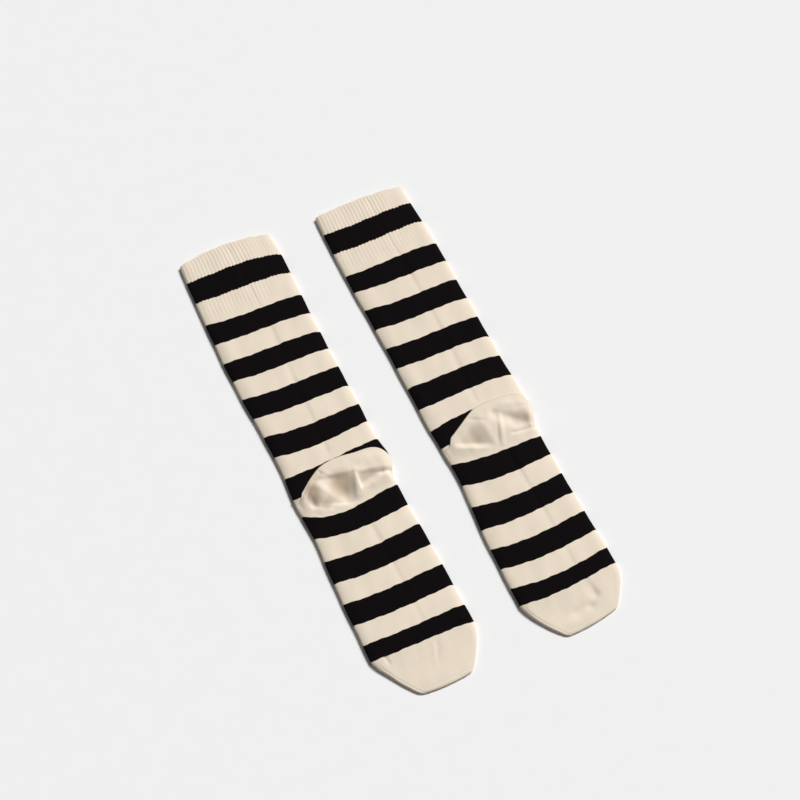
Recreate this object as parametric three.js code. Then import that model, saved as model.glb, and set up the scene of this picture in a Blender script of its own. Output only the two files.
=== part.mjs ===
// A pair of striped crew socks laid flat side by side, heel side up, toes towards -Y.
// Each sock is a flattened knitted tube: ribbed cuff, leg, heel pocket, foot and toe.
// Sizes are in millimetres and +Z is up. The socks lie on the plane z = 0, and the
// origin is under the middle of the pair. Along a sock, s runs from the upper edge of
// the first dark stripe towards the toe, and x runs across it, to the right as seen
// from the toes.
import * as THREE from 'three';

// The dark stripes, nearly all 20 mm of dark after 20 mm of light
const STRIPES = [
  { from: 0, to: 20.5 },
  { from: 41.5, to: 61.4 },
  { from: 81.2, to: 101 },
  { from: 121, to: 141 },
  { from: 161, to: 180.8 },
  { from: 200, to: 220.7 },
  { from: 240.5, to: 260.5 },
  { from: 280.3, to: 300.5 },
  { from: 319.7, to: 338.7 },
  { from: 357.8, to: 373 },
];
const CUFF_TOP = -29.3;
const CUFF_END = STRIPES[1].from;
const LEG_END = STRIPES[5].to;
const HEEL_END = STRIPES[6].from;
const FOOT_END = STRIPES[9].to;

// The cloth and the flattened tube's section
const WALL = 2.0;
const FLAT_HEIGHT = 4.6;
const CROWN = 0.25;
const SHOULDER = 9;
const UNDER_ROUND = 2.6;
const SEAM_GAP = 0.3;

// The ribs of the cuff
const RIBS_ON_TOP = 20;
const RIB_RISE = 0.55;
const RIB_FADE = 14;

// The folded heel pocket
const POCKET_SWELL = 1.1;
const POCKET_CLEARANCE = 0.6;
const RIM_RADIUS = 2.0;

// The crease that runs down the middle of each flat side
const CREASE_DEPTH = 0.35;
const CREASE_SPREAD = 3;

const CREAM = new THREE.Color(0.82, 0.74, 0.63);
const BLACK = new THREE.Color(0.012, 0.01, 0.012);

// The left sock in the pair, as seen from the toes
const LEFT = {
  name: 'left',
  place: { x: -62, y: 192.4, turn: 0.15 },
  cuffBow: 4.8,
  creaseX: 6,
  outline: [
    { s: -30, left: 39.5, right: 41.5 },
    { s: 0, left: 40.5, right: 43 },
    { s: 40, left: 42, right: 42.2 },
    { s: 80, left: 43.2, right: 41.8 },
    { s: 120, left: 42.2, right: 42 },
    { s: 160, left: 39.8, right: 42.6 },
    { s: 200, left: 38.8, right: 43 },
    { s: 220, left: 39.2, right: 41.5 },
    { s: 240, left: 38.8, right: 39.6 },
    { s: 260, left: 38.8, right: 40.2 },
    { s: 300, left: 41.3, right: 41.8 },
    { s: 340, left: 42, right: 42.9 },
    { s: 373, left: 42, right: 43.8 },
  ],
  toe: [
    { s: 373, left: 42, right: 43.8, height: 4.6 },
    { s: 378.5, left: 40.4, right: 42.8, height: 4.6 },
    { s: 386, left: 35.8, right: 39.6, height: 4.5 },
    { s: 393.5, left: 30.6, right: 35.2, height: 4.5 },
    { s: 401.5, left: 25, right: 30.2, height: 4.4 },
    { s: 407, left: 20.8, right: 26.2, height: 4.3 },
    { s: 409.2, left: 18.2, right: 24, height: 3.6 },
    { s: 409.9, left: 16, right: 22, height: 2.0 },
  ],
  toeSlant: 0,
  // The pocket's folded edge: where each place across the heel reaches
  fold: [
    { across: -37, x: -37, s: 220 },
    { across: -31, x: -31.5, s: 216.5 },
    { across: -22, x: -22, s: 209.5 },
    { across: -10, x: -10, s: 203.5 },
    { across: 4, x: 4, s: 201 },
    { across: 18, x: 19.5, s: 202.5 },
    { across: 30, x: 33, s: 203.5 },
    { across: 36, x: 39.5, s: 206.5 },
    { across: 39, x: 42.3, s: 213 },
    { across: 41, x: 41.8, s: 220 },
  ],
  sideBulge: 1.2,
  dents: [
    { x: -5, s: 225, turn: -32, length: 11, width: 4.5, depth: 2.2 },
    { x: 24, s: 227, turn: 4, length: 12, width: 3.2, depth: 1.7 },
    { x: -26, s: 224, turn: -52, length: 9, width: 3, depth: 1.1 },
    { x: 7, s: 226, turn: -75, length: 8, width: 2.2, depth: -1.0 },
    { x: -17, s: 229, turn: -35, length: 8, width: 4, depth: -0.8 },
  ],
};

// The right sock in the pair
const RIGHT = {
  name: 'right',
  place: { x: 63, y: 188.2, turn: -0.15 },
  cuffBow: 2.6,
  creaseX: 7,
  outline: [
    { s: -30, left: 41, right: 39.5 },
    { s: 0, left: 42, right: 40 },
    { s: 40, left: 42.5, right: 42 },
    { s: 80, left: 41.7, right: 42 },
    { s: 120, left: 41, right: 42.2 },
    { s: 160, left: 40.7, right: 42.3 },
    { s: 200, left: 40.2, right: 41.5 },
    { s: 220, left: 38.3, right: 40.5 },
    { s: 240, left: 36.8, right: 39 },
    { s: 260, left: 38, right: 39 },
    { s: 300, left: 41.7, right: 39.3 },
    { s: 340, left: 42.5, right: 40.8 },
    { s: 373, left: 42.7, right: 41.8 },
  ],
  toe: [
    { s: 373, left: 42.7, right: 41.8, height: 4.6 },
    { s: 378, left: 41.2, right: 41.4, height: 4.6 },
    { s: 385.5, left: 36.8, right: 38.4, height: 4.5 },
    { s: 393, left: 31.6, right: 33.8, height: 4.5 },
    { s: 400.5, left: 26.4, right: 28.8, height: 4.4 },
    { s: 405.5, left: 22.6, right: 25, height: 4.3 },
    { s: 407.6, left: 20.2, right: 23, height: 3.6 },
    { s: 408.3, left: 18.4, right: 21.2, height: 2.0 },
  ],
  toeSlant: -0.15,
  fold: [
    { across: -36.5, x: -36.5, s: 220 },
    { across: -32, x: -32, s: 219 },
    { across: -18, x: -18, s: 211 },
    { across: -2, x: -2, s: 201.5 },
    { across: 5, x: 5.5, s: 200 },
    { across: 13, x: 14, s: 199.5 },
    { across: 30, x: 32.5, s: 202 },
    { across: 36, x: 38.5, s: 205 },
    { across: 38.5, x: 41, s: 212 },
    { across: 40, x: 40.6, s: 220 },
  ],
  sideBulge: 0.8,
  dents: [
    { x: -8, s: 227, turn: -12, length: 9, width: 6, depth: 2.0 },
    { x: 27, s: 222, turn: 14, length: 10, width: 4.5, depth: 1.9 },
    { x: 28, s: 234, turn: 6, length: 7, width: 1.8, depth: 0.7 },
    { x: 12, s: 229, turn: -80, length: 9, width: 2.4, depth: -0.9 },
    { x: 8, s: 231, turn: -78, length: 5, width: 2, depth: 0.8 },
  ],
};

const lerp = THREE.MathUtils.lerp;
const smoothstep = THREE.MathUtils.smoothstep;

/** A table's value in one named column, read smoothly at a place in another column. */
function readTable(table, by, column, at) {
  const last = table.length - 1;
  if (at <= table[0][by]) return table[0][column];
  if (at >= table[last][by]) return table[last][column];
  const i = table.findIndex((row, n) => n < last && at < table[n + 1][by]);
  const row = (n) => table[THREE.MathUtils.clamp(n, 0, last)];
  const slope = (n) => {
    const span = row(n + 1)[by] - row(n - 1)[by];
    return (row(n + 1)[column] - row(n - 1)[column]) / span;
  };
  const span = row(i + 1)[by] - row(i)[by];
  const t = (at - row(i)[by]) / span;
  const start = row(i)[column];
  const end = row(i + 1)[column];
  return start + (end - start) * t * t * (3 - 2 * t)
    + span * t * (1 - t) * ((1 - t) * slope(i) - t * slope(i + 1));
}

/** The tube's half widths and height at s. */
function widthsAt(sock, s) {
  return {
    left: readTable(sock.outline, 's', 'left', s),
    right: readTable(sock.outline, 's', 'right', s),
    height: FLAT_HEIGHT,
  };
}

/** Places round the flat tube: along the bottom, up the right fold, over the top, down the left. */
function placesRound(topSteps, bottomSteps, foldSteps) {
  const zones = [
    ['bottom', bottomSteps],
    ['rightLow', foldSteps],
    ['rightHigh', foldSteps],
    ['top', topSteps],
    ['leftHigh', foldSteps],
    ['leftLow', foldSteps],
  ];
  return zones.flatMap(([zone, steps]) =>
    Array.from({ length: steps }, (_, i) => ({ zone, f: i / steps, index: i })));
}

/** One point of the tube's section, moved in from the outside by the inset. */
function sectionPoint({ zone, f }, { left, right, height }, inset) {
  const leftEnd = -left + inset;
  const rightEnd = right - inset;
  const shoulder = SHOULDER - inset;
  const under = UNDER_ROUND - inset;
  const middle = height / 2;
  const crown = CROWN * (height / FLAT_HEIGHT);
  const drop = middle - inset;
  const lift = height - inset - crown - middle;
  const turn = (quarter) => (Math.PI / 2) * (quarter + f);
  switch (zone) {
    case 'bottom':
      return { x: lerp(leftEnd + under, rightEnd - under, f), z: inset };
    case 'rightLow':
      return {
        x: rightEnd - under + under * Math.cos(turn(-1)),
        z: middle + drop * Math.sin(turn(-1)),
      };
    case 'rightHigh':
      return {
        x: rightEnd - shoulder + shoulder * Math.cos(turn(0)),
        z: middle + lift * Math.sin(turn(0)),
      };
    case 'top':
      return {
        x: lerp(rightEnd - shoulder, leftEnd + shoulder, f),
        z: middle + lift + crown * (1 - (2 * f - 1) ** 2),
      };
    case 'leftHigh':
      return {
        x: leftEnd + shoulder + shoulder * Math.cos(turn(1)),
        z: middle + lift * Math.sin(turn(1)),
      };
    default:
      return {
        x: leftEnd + under + under * Math.cos(turn(2)),
        z: middle + drop * Math.sin(turn(2)),
      };
  }
}

/** Height of the tube's upper side at a place across it. */
function topHeight({ left, right, height }, x) {
  const middle = height / 2;
  const lift = height - CROWN - middle;
  const from = -left + SHOULDER;
  const to = right - SHOULDER;
  const beyond = Math.max(from - x, x - to, 0) / SHOULDER;
  if (beyond > 0) return middle + lift * Math.sqrt(Math.max(0, 1 - beyond ** 2));
  const f = (x - from) / (to - from);
  return middle + lift + CROWN * (1 - (2 * f - 1) ** 2);
}

/** How far the middle crease sinks the cloth at a place across it. */
function creaseDepth(sock, x) {
  return CREASE_DEPTH * Math.exp(-(((x - sock.creaseX) / CREASE_SPREAD) ** 2));
}

/** One loop of points round the tube at s, as vectors in the sock's own frame. */
function ringAt(sock, places, s, inset = 0, widths = widthsAt(sock, s)) {
  return places.map((place) => {
    const { x, z } = sectionPoint(place, widths, inset);
    const sink = place.zone === 'top' && inset === 0 ? creaseDepth(sock, x) : 0;
    return new THREE.Vector3(x, -s, z - sink);
  });
}

/** A mesh of triangles that keeps a colour for each band of its outside. */
class KnitSurface {
  constructor() {
    this.positions = [];
    this.colours = [];
  }

  triangle(a, b, c, shade) {
    for (const point of [a, b, c]) {
      this.positions.push(point.x, point.y, point.z);
      this.colours.push(shade.r, shade.g, shade.b);
    }
  }

  quad(a, b, c, d, shade) {
    this.triangle(a, b, c, shade);
    this.triangle(a, c, d, shade);
  }

  /** Joins two loops, the second further towards the toe. */
  band(from, to, shade, inward = false) {
    from.forEach((point, i) => {
      const next = (i + 1) % from.length;
      if (inward) this.quad(point, to[i], to[next], from[next], shade);
      else this.quad(point, from[next], to[next], to[i], shade);
    });
  }

  /** The cut edge of the wall between an outer and an inner loop. */
  edge(outer, inner, facesToe, shade) {
    outer.forEach((point, i) => {
      const next = (i + 1) % outer.length;
      if (facesToe) this.quad(point, outer[next], inner[next], inner[i], shade);
      else this.quad(point, inner[i], inner[next], outer[next], shade);
    });
  }

  /** Closes a loop at the toe end with triangles to its middle. */
  cap(loop, inward, shade) {
    const middle = loop.reduce((sum, p) => sum.add(p), new THREE.Vector3());
    middle.divideScalar(loop.length);
    loop.forEach((point, i) => {
      const next = loop[(i + 1) % loop.length];
      if (inward) this.triangle(next, point, middle, shade);
      else this.triangle(point, next, middle, shade);
    });
  }

  mesh(name) {
    const geometry = new THREE.BufferGeometry();
    geometry.setAttribute('position', new THREE.Float32BufferAttribute(this.positions, 3));
    geometry.setAttribute('color', new THREE.Float32BufferAttribute(this.colours, 3));
    geometry.computeVertexNormals();
    const material = new THREE.MeshStandardMaterial({
      color: CREAM,
      roughness: 0.9,
      metalness: 0,
      vertexColors: true,
    });
    const mesh = new THREE.Mesh(geometry, material);
    mesh.name = name;
    return mesh;
  }
}

// Vertex colours multiply the cream of the material
const LIGHT_SHADE = new THREE.Color(1, 1, 1);
const DARK_SHADE = new THREE.Color(BLACK.r / CREAM.r, BLACK.g / CREAM.g, BLACK.b / CREAM.b);

/** Dark or light yarn at s. */
function shadeAt(s) {
  return STRIPES.some((stripe) => s > stripe.from && s < stripe.to) ? DARK_SHADE : LIGHT_SHADE;
}

/** A plain open tube from one s to another, with a loop at each change of stripe. */
function plainTube(sock, name, from, to) {
  const places = placesRound(14, 7, 3);
  const start = from + SEAM_GAP / 2;
  const end = to - SEAM_GAP / 2;
  const changes = STRIPES.flatMap((stripe) => [stripe.from, stripe.to]);
  const stops = [start, ...changes.filter((s) => s > from && s < to), end];
  const outer = stops.map((s) => ringAt(sock, places, s));
  const inner = [start, (start + end) / 2, end].map((s) => ringAt(sock, places, s, WALL));
  const surface = new KnitSurface();
  for (let i = 1; i < outer.length; i++) {
    surface.band(outer[i - 1], outer[i], shadeAt((stops[i - 1] + stops[i]) / 2));
  }
  for (let i = 1; i < inner.length; i++) {
    surface.band(inner[i - 1], inner[i], LIGHT_SHADE, true);
  }
  surface.edge(outer[0], inner[0], false, LIGHT_SHADE);
  surface.edge(outer.at(-1), inner.at(-1), true, LIGHT_SHADE);
  return surface.mesh(`${sock.name}_${name}`);
}

/** The ribbed cuff: lengthwise ribs stand up from the upper side, and its mouth is bowed. */
function cuff(sock) {
  const places = placesRound(2 * RIBS_ON_TOP, 9, 4);
  const end = CUFF_END - SEAM_GAP / 2;
  const lipRound = 0.9;
  const bowed = (point, s) => {
    const across = point.x / sock.outline[0].left;
    const share = 1 - smoothstep(s, CUFF_TOP, end);
    return sock.cuffBow * across ** 2 * share;
  };
  const loopAt = (s, inset) => {
    const loop = ringAt(sock, places, s, inset);
    loop.forEach((point, i) => {
      const { zone, index } = places[i];
      const fade = 1 - smoothstep(s, end - RIB_FADE, end);
      const ribbed = zone === 'top' && index % 2 === 1;
      if (inset < WALL && ribbed) point.z += RIB_RISE * fade * (1 - inset / WALL);
      point.y -= bowed(point, s);
    });
    return loop;
  };
  const stops = [
    { s: CUFF_TOP, inset: lipRound },
    { s: CUFF_TOP + lipRound, inset: 0 },
    { s: 0, inset: 0 },
    { s: STRIPES[0].to, inset: 0 },
    { s: end - RIB_FADE / 2, inset: 0 },
    { s: end, inset: 0 },
  ];
  const outer = stops.map(({ s, inset }) => loopAt(s, inset));
  const inner = [CUFF_TOP, end].map((s) => loopAt(s, WALL));
  const surface = new KnitSurface();
  for (let i = 1; i < outer.length; i++) {
    surface.band(outer[i - 1], outer[i], shadeAt((stops[i - 1].s + stops[i].s) / 2));
  }
  surface.band(inner[0], inner[1], LIGHT_SHADE, true);
  surface.edge(outer[0], inner[0], false, LIGHT_SHADE);
  surface.edge(outer.at(-1), inner.at(-1), true, LIGHT_SHADE);
  return surface.mesh(`${sock.name}_cuff`);
}

/** How far the pocket's puckers sink or lift its upper side. */
function dentDepth(sock, x, s) {
  return sock.dents.reduce((sum, dent) => {
    const turn = THREE.MathUtils.degToRad(dent.turn);
    const dx = x - dent.x;
    const ds = s - dent.s;
    const along = (dx * Math.cos(turn) - ds * Math.sin(turn)) / dent.length;
    const across = (dx * Math.sin(turn) + ds * Math.cos(turn)) / dent.width;
    return sum + dent.depth * Math.exp(-(along ** 2) - across ** 2);
  }, 0);
}

// The way round the folded pocket, from the leg's end back to the fold and on to the foot
const RIM_TURNS = [-90, -40, 10, 60];
const TOP_SHARES = [0.08, 0.17, 0.28, 0.4, 0.52, 0.64, 0.76, 0.88, 1];

/** The pocket's route at one place round the tube: under the fold, over its rim, to the foot. */
function pocketRoute(sock, place, start, end) {
  const ring = sectionPoint(place, widthsAt(sock, start), 0);
  const close = sectionPoint(place, widthsAt(sock, end), 0);
  const steps = 2 + RIM_TURNS.length + TOP_SHARES.length;
  const upper = ['rightHigh', 'top', 'leftHigh'].includes(place.zone);
  const gore = sock.fold[0].across;
  const side = sock.fold.at(-1).across;
  const reach = upper && ring.x > gore && ring.x <= side + SEAM_GAP;
  const tipS = reach ? readTable(sock.fold, 'across', 's', ring.x) : LEG_END;
  const tipX = reach ? readTable(sock.fold, 'across', 'x', ring.x) : ring.x;
  const folded = smoothstep(LEG_END - tipS, 0, 4);
  const fullness = smoothstep(LEG_END - tipS, 0, 14);
  const radius = RIM_RADIUS * lerp(0.4, 1, fullness);
  const bulge = ring.x > 0 ? sock.sideBulge * smoothstep(ring.x, 25, 39) : 0;

  const plain = (i) => {
    const f = i / (steps - 1);
    return {
      x: lerp(ring.x, close.x, f) + bulge * Math.sin(Math.PI * f),
      s: lerp(start, end, f),
      z: lerp(ring.z, close.z, f),
    };
  };
  const legTop = (x, s) => topHeight(widthsAt(sock, s), x);
  const under = (x, s) => legTop(x, s) + POCKET_CLEARANCE;
  const rimS = tipS + radius;
  const rimZ = under(tipX, rimS) + radius;
  const route = [
    { x: ring.x, s: start, z: ring.z },
    { x: ring.x, s: start, z: under(ring.x, start) },
  ];
  for (const turn of RIM_TURNS) {
    const angle = THREE.MathUtils.degToRad(turn);
    route.push({
      x: tipX,
      s: rimS - radius * Math.cos(angle),
      z: rimZ + radius * Math.sin(angle),
    });
  }
  for (const share of TOP_SHARES) {
    const s = lerp(rimS, end, share);
    const x = lerp(tipX, close.x, smoothstep(share, 0.1, 1));
    const base = lerp(rimZ + radius, close.z, smoothstep(share, 0, 1));
    const swell = POCKET_SWELL * fullness * Math.sin(Math.PI * share) ** 2;
    const dent = dentDepth(sock, x, s) * fullness * Math.sin(Math.PI * share) ** 0.5;
    route.push({ x, s, z: base + swell - dent });
  }
  return route.map((point, i) => {
    const flat = plain(i);
    const x = lerp(flat.x, point.x, folded);
    const s = lerp(flat.s, point.s, folded);
    let z = lerp(flat.z, point.z, folded);
    if (upper && s < start) z = Math.max(z, under(x, s));
    return new THREE.Vector3(x, -s, z);
  });
}

/** The heel: a short ring of the tube whose upper side is the pocket folded up over the leg. */
function heel(sock) {
  const places = placesRound(22, 7, 4);
  const start = LEG_END + SEAM_GAP / 2;
  const end = HEEL_END - SEAM_GAP / 2;
  const routes = places.map((place) => pocketRoute(sock, place, start, end));
  const outer = routes[0].map((_, i) => routes.map((route) => route[i]));
  const inner = [start, end].map((s) => ringAt(sock, places, s, WALL));
  const surface = new KnitSurface();
  for (let i = 1; i < outer.length; i++) surface.band(outer[i - 1], outer[i], LIGHT_SHADE);
  surface.band(inner[0], inner[1], LIGHT_SHADE, true);
  surface.edge(outer[0], inner[0], false, LIGHT_SHADE);
  surface.edge(outer.at(-1), inner.at(-1), true, LIGHT_SHADE);
  return surface.mesh(`${sock.name}_heel`);
}

/** The toe: the tube narrows along its gores to a short closed end. */
function toe(sock) {
  const places = placesRound(14, 7, 3);
  const rows = sock.toe;
  const length = rows.at(-1).s - FOOT_END;
  const tipBow = 1.6;
  const shaped = (loop, s) => {
    const share = (s - FOOT_END) / length;
    for (const point of loop) {
      const across = point.x / rows.at(-1).right;
      point.y -= sock.toeSlant * point.x * share - tipBow * share ** 4 * Math.min(1, across ** 2);
    }
    return loop;
  };
  const outer = rows.map((row, i) => {
    const s = i === 0 ? row.s + SEAM_GAP / 2 : row.s;
    const lifted = (FLAT_HEIGHT - row.height) / 4;
    const loop = ringAt(sock, places, s, 0, row);
    if (i > 5) loop.forEach((point) => (point.z += lifted));
    return shaped(loop, s);
  });
  const inner = rows.slice(0, -2).map((row, i) => {
    const s = i === 0 ? row.s + SEAM_GAP / 2 : row.s;
    const widths = { ...row, height: Math.max(row.height, 2 * WALL + CROWN + 0.05) };
    return shaped(ringAt(sock, places, s, WALL, widths), s);
  });
  const surface = new KnitSurface();
  for (let i = 1; i < outer.length; i++) surface.band(outer[i - 1], outer[i], LIGHT_SHADE);
  for (let i = 1; i < inner.length; i++) surface.band(inner[i - 1], inner[i], LIGHT_SHADE, true);
  surface.edge(outer[0], inner[0], false, LIGHT_SHADE);
  surface.cap(outer.at(-1), false, LIGHT_SHADE);
  surface.cap(inner.at(-1), true, LIGHT_SHADE);
  return surface.mesh(`${sock.name}_toe`);
}

/** One whole sock, lying where the pair's picture has it. */
function sockGroup(sock) {
  const group = new THREE.Group();
  group.name = `${sock.name}_sock`;
  group.add(
    cuff(sock),
    plainTube(sock, 'leg', CUFF_END, LEG_END),
    heel(sock),
    plainTube(sock, 'foot', HEEL_END, FOOT_END),
    toe(sock),
  );
  group.position.set(sock.place.x, sock.place.y, 0);
  group.rotation.z = THREE.MathUtils.degToRad(sock.place.turn);
  return group;
}

const pair = new THREE.Group();
pair.name = 'sock_pair';
pair.add(sockGroup(LEFT), sockGroup(RIGHT));

export default pair;
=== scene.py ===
"""A pair of cream and black striped crew socks, laid flat with the heel side up on a pale floor.

Lengths are worked out in millimetres and become metres when a mesh is made. Along a sock,
s runs from the upper edge of the first dark stripe towards the toe, and x runs across it.
"""

import math

import bpy
import numpy as np
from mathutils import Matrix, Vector


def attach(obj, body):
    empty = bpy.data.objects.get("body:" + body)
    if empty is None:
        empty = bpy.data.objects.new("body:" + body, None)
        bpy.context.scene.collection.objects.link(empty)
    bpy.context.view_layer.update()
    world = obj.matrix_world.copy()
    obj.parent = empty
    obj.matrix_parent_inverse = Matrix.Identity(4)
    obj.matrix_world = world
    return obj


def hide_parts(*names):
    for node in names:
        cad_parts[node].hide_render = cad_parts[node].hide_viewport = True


MM = 0.001

# Where the knitting changes, along the sock
STRIPE_EDGES = [
    0, 20.5, 41.5, 61.4, 81.2, 101, 121, 141, 161, 180.8,
    200, 220.7, 240.5, 260.5, 280.3, 300.5, 319.7, 338.7, 357.8, 373,
]
CUFF_TOP = -29.3
CUFF_END = STRIPE_EDGES[2]
LEG_END = STRIPE_EDGES[11]
HEEL_END = STRIPE_EDGES[12]
FOOT_END = STRIPE_EDGES[19]

# The cuff's hem: a length that the stripes don't give
CUFF_HEM = 18

# The flattened tube
FLAT_HEIGHT = 4.6
CROWN = 0.25
SHOULDER = 9
UNDER_ROUND = 2.6
WALL = 1.9

# Relief on the upper side fades in between these shares of the tube's height, and relief on
# its sides between these places across
UPPER_FADE = (0.55, 0.9)
EDGE_FADE = (30, 40)

# The zones round the tube, in the order of its columns, and where the round ones start, in
# quarter turns
BOTTOM, RIGHT_LOW, RIGHT_HIGH, TOP, LEFT_HIGH, LEFT_LOW = range(6)
UPPER = (RIGHT_HIGH, TOP, LEFT_HIGH)
SIDES = (RIGHT_LOW, RIGHT_HIGH, LEFT_HIGH, LEFT_LOW)
QUARTERS = {RIGHT_LOW: -1, RIGHT_HIGH: 0, LEFT_HIGH: 1, LEFT_LOW: 2}

# About how long the zones are, and how far apart the columns and rows stand
BOTTOM_LENGTH = 79
TOP_LENGTH = 66
HIGH_SIDE_LENGTH = 10
LOW_SIDE_STEPS = 5
PLAIN_STEP = 1.0
PLAIN_UNDER_STEP = 1.6
FINE_STEP = 0.6
FINE_UNDER_STEP = 1.2
RIB_STEP = 0.45

# How the tube's sides stray from straight, in and out
EDGE_WAVE = 0.18
EDGE_WAVE_LENGTH = 40.2

# How the courses stray: the place across where a sock's tables count in full, what makes a
# skew reach 1 at its most, and two small waves
HALF_ACROSS = 34
SKEW_FULL = 2.6
COURSE_WAVES = [
    {"height": 0.22, "x": 0.31, "v": 0.09, "start": 0},
    {"height": 0.16, "x": 0.73, "v": -0.13, "start": 1.3},
]

# Soft folds fade beyond their ends, and the sides of a three-cornered dent fade outwards and
# inwards by these shares of their softness
FOLD_CAPS = (3, 3)
SOFT_OUTWARDS = 0.4
SOFT_INWARDS = 0.6

# The cuff's ribs
RIB_PITCH = 3.2
RIB_RELIEF = 0.2
RIB_FADE = 12
RIB_ZIGZAG = 0.35
RIB_SHARPNESS = 0.8
RIB_SIDE_SHARE = 0.5
RIB_WANDER = 0.25
HEM_FLATTENING = 0.7
LOWER_BAND_SHARE = 0.6
RIGHT_SHARE = 0.35
MIDDLE_SHARE = 1.3

# Where these shares of the ribs' relief come in: places along the sock, places across it, and
# the middle and half width of a stretch across
LOWER_BAND = (12, 24)
RIGHT_FADE = (10, 26)
MIDDLE_PLACE = 8
MIDDLE_SPREAD = 8
RIB_FOOT = (0.4, 2.4)
RIB_SIDES = (34, 40)

# The folded heel pocket
POCKET_CLEARANCE = 0.6
RIM_RADIUS = 1.6
RIM_TURN = 80
RIM_AT_THE_SIDES = 0.4
POCKET_SWELL = 1.8
POCKET_UNEVENNESS = 0.12

# How far the rim lies up the leg where the pocket begins and ends to be folded, dented and full
FOLDED = (0, 4)
DENTED = (0.5, 8)
FULL = (0, 14)

# The pocket's courses that lie hidden on the leg, turn over at the rim and show, and how many
# rows of the mesh each has
HIDDEN_COURSES = 20
RIM_COURSES = 4
SHOWN_COURSES = 38
HIDDEN_ROWS = 14
RIM_ROWS = 10
SHOWN_ROWS = 78

# Painted shade in the rim's fold, where the stitches also open up, so that it is a little darker
RIM_COURSE = 22.8
RIM_SPREAD = 1.4

# Where the heel's short rows join: a low ridge with a groove beside it
GORE_RIDGE = 0.14
GORE_GROOVE = 0.25
GORE_GROOVE_AWAY = 1.8

# The toe: its gores, the joined line across its tip, the row of its table that the tip starts
# at, and how many rows of the mesh lie before and beyond it
GORE_INSET = 2.4
GORE_SPREAD = 0.7
GORE_DEPTH = 0.22
RIGHT_GORE_SHARE = 0.4
SEAM_BEFORE_TIP = 1.5
SEAM_SPREAD = 0.8
SEAM_DEPTH = 0.12
TIP_ROW = 5
TOE_MESH_ROWS = 46
TIP_MESH_ROWS = 9
TIP_BOW = 1.6
TIP_CLOSE = 0.8
TIP_HEIGHT = 0.1
TIP_LIFT = 0.3

# The fine stitches
WALE = 1.07
COURSE = 0.9
STITCH_DRIFT = 1.6
STITCH_SLANT = 1.1
STITCH_BUMP = 0.16
BUMP_STRENGTH = 0.5
STRIPE_RAGGEDNESS = 0.7

# Noise in the knitting: how fine its fluff, the drift of its stitches and its mottling are, and
# the mottling's darkest and lightest value
FLUFF_SCALE = 1.9
DRIFT_SCALE = 0.35
MOTTLING_SCALE = 0.055
MOTTLING = (0.94, 1.06)

# The yarn's surface, and the share of a hollow's oval at which its painted shade is full
ROUGHNESS = (0.86, 0.98)
SPECULAR = 0.04
CREAM_SHEEN = 0.1
DARK_SHEEN = 0.006
SHEEN_ROUGHNESS = 0.5
HOLLOW_SHADE_FULL = 0.25

# The colours of the yarn
CREAM = (0.84, 0.745, 0.62, 1)
# Painted shade in the gaps between stitches, mixed with the fluff's random tone
CREAM_DEEP_AND_GAP_SHADE = (0.76, 0.65, 0.515, 1)
# Painted shade for the pocket's hollows, darker and warmer than the cream
CREAM_HOLLOW_SHADE = (0.43, 0.305, 0.195, 1)
DARK = (0.003, 0.002, 0.0025, 1)
# The dark yarn painted lighter on its loops than in the gaps between them, as painted shade
DARK_LIGHTER = (0.007, 0.005, 0.0055, 1)

# The floor, light and camera, in metres and degrees
FLOOR_HALF = 30.0
FLOOR_PALE = (0.85, 0.85, 0.85, 1)
FLOOR_PALER = (0.875, 0.875, 0.875, 1)
FLOOR_GRAIN = 60.0
FLOOR_ROUGHNESS = (0.8, 0.9)
SUN_PLACE = (1.2, 0.48, 1.25)
SUN_STRENGTH = 3.95
SUN_SPREAD = 22
SKY_STRENGTH = 0.13
CAMERA_AIM = (0.0124, 0.0207, 0.0046)
CAMERA_AZIMUTH = -24.7
CAMERA_ELEVATION = 60
CAMERA_DISTANCE = 1.618
CAMERA_LENS = 90
CAMERA_SENSOR = 36

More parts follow.
